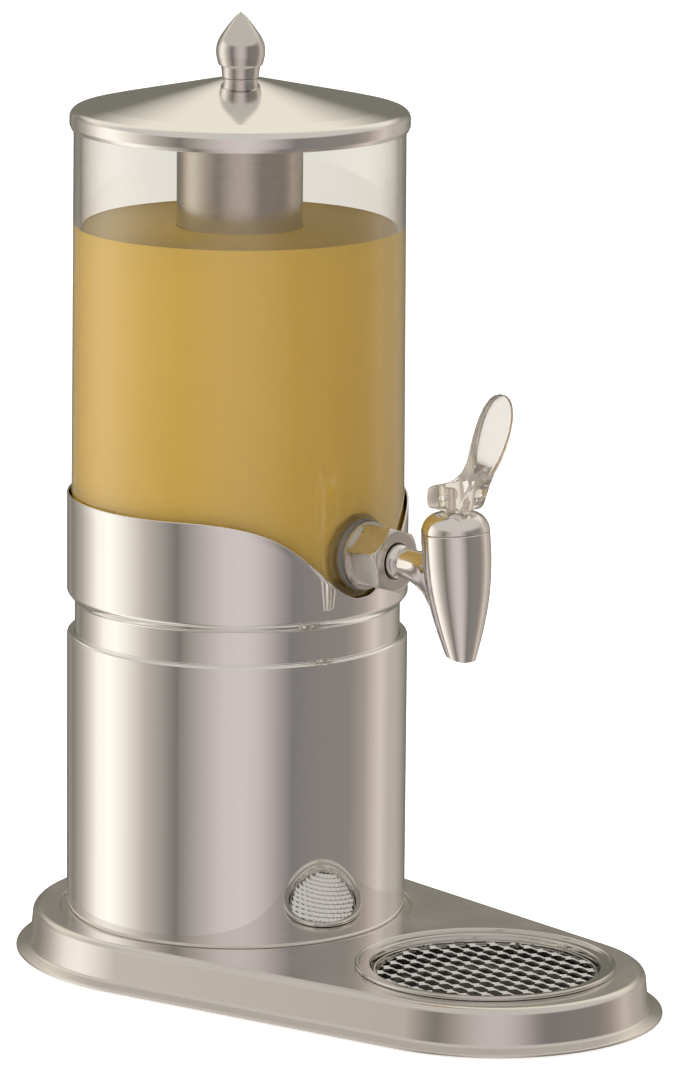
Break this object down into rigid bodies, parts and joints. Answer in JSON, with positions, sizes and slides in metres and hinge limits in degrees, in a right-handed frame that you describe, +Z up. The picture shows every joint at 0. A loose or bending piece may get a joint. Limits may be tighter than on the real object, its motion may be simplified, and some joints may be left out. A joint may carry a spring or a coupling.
{
  "type": "juice dispenser",
  "caption": "Countertop cold drink dispenser: clear container in a polished steel tower, self-closing lever tap, drip tray and teardrop base.",
  "frame": {"origin": "centre of the base's bounding rectangle at table height", "axes": "+X from the tower towards the tap and drip tray, +Z up"},
  "size_m": [0.3535, 0.213, 0.457],
  "materials": {
    "polished_steel": "mirror-polished stainless steel",
    "satin_steel": "satin stainless steel",
    "grate_steel": "bright expanded steel",
    "tube_steel": "fine brushed stainless steel",
    "tap_chrome": "polished chrome plate",
    "zinc_steel": "plain zinc-plated steel",
    "clear_container": "clear polycarbonate",
    "clear_lever": "clear moulded acrylic",
    "silicone": "translucent silicone",
    "black_rubber": "matte black rubber",
    "white_plastic": "food-grade plastic"
  },
  "bodies": {
    "base": {"base_plate": "satin_steel", "base_feet": "black_rubber", "foot_studs": "zinc_steel", "housing_floor": "satin_steel", "housing_screws": "zinc_steel", "housing_nuts": "zinc_steel", "housing_shell": "polished_steel", "collar": "polished_steel", "container_seat": "satin_steel", "seat_cushion": "silicone"},
    "tray": {"drip_tray": "polished_steel"},
    "grate": {"grate_rim": "grate_steel", "grate_mesh": "grate_steel"},
    "vessel": {"container": "clear_container", "tap_shank": "tap_chrome", "inner_seal": "silicone", "outer_seal": "silicone", "tap_washer": "tap_chrome", "tap_nut": "tap_chrome", "tap_body": "tap_chrome", "neck_oring": "black_rubber", "bonnet": "tap_chrome", "valve_spring": "zinc_steel"},
    "stem": {"valve_stem": "tap_chrome", "seat_cup": "silicone", "lever_pin": "tap_chrome"},
    "lever": {"lever_handle": "clear_lever"},
    "lid": {"lid_shell": "polished_steel", "lid_ring": "white_plastic", "lid_knob": "polished_steel", "knob_washer": "zinc_steel", "knob_screw": "zinc_steel", "tube_socket": "satin_steel"},
    "tube": {"ice_tube": "tube_steel", "tube_oring": "silicone"}
  },
  "joints": [
    {"name": "container_lift", "type": "slide", "parent": "base", "child": "vessel", "axis": [0, 0, 1], "range_m": [0, 0.08]},
    {"name": "lid_lift", "type": "slide", "parent": "vessel", "child": "lid", "axis": [0, 0, 1], "range_m": [0, 0.21]},
    {"name": "tube_twist", "type": "hinge", "parent": "lid", "child": "tube", "pos_m": [-0.07025, 0, 0.404], "axis": [0, 0, 1], "range_deg": [0, 60]},
    {"name": "stem_lift", "type": "slide", "parent": "vessel", "child": "stem", "axis": [-0.0802, 0, 0.9968], "range_m": [0, 0.00517], "stiffness_N_per_m": 300, "springref_m": -0.01, "deforming": ["valve_spring"]},
    {"name": "lever_tilt", "type": "hinge", "parent": "stem", "child": "lever", "pos_m": [0.06869, 0, 0.24344], "axis": [0, 1, 0], "range_deg": [0, 38]},
    {"name": "tray_lift", "type": "slide", "parent": "base", "child": "tray", "axis": [0, 0, 1], "range_m": [0, 0.06]},
    {"name": "grate_lift", "type": "slide", "parent": "tray", "child": "grate", "axis": [0, 0, 1], "range_m": [0, 0.04]}
  ],
  "couplings": [
    {"joint": "lever_tilt", "follows": "stem_lift", "rad_per_m": 128.2}
  ]
}
